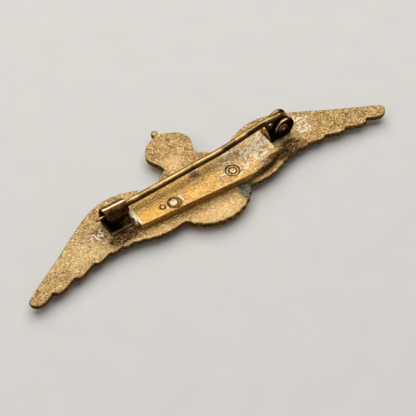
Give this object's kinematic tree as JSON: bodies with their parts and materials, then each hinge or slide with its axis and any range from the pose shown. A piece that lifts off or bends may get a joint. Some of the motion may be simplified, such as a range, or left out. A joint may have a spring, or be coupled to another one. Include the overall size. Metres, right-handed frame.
{
  "type": "pilot wings pin",
  "caption": "Winged badge with crown and wreath; its back has a bar, a hinged pin stem in a riveted joint and a curled catch.",
  "frame": {"origin": "centre of the wreath, on the flat of the front that the badge lies on", "axes": "+X along the wings towards the pin's joint, +Y up to the crown, +Z out of the badge's back"},
  "size_m": [0.0514, 0.017, 0.0054],
  "materials": {
    "aged_gold": "aged gilt brass with a fine sandy grain",
    "bar_gold": "warmer worn brass, heat tinted near the solder",
    "dark_bronze": "dark bronze patina, bright on rubbed edges",
    "rivet_bronze": "dull bronze, rubbed head",
    "stem_brass": "drawn brass wire, brown patches",
    "solder": "rough pale solder"
  },
  "bodies": {
    "badge": {"badge_body": "aged_gold", "back_bar": "bar_gold", "catch": "dark_bronze", "catch_solder": "solder", "hinge_bracket": "dark_bronze", "hinge_rivet": "rivet_bronze", "hinge_solder": "solder"},
    "stem": {"pin_stem": "stem_brass"}
  },
  "joints": [
    {"name": "pin_hinge", "type": "hinge", "parent": "badge", "child": "stem", "pos_m": [0.0122, 0.00172, 0.0037], "axis": [0, 1, 0], "range_deg": [0, 110]}
  ]
}
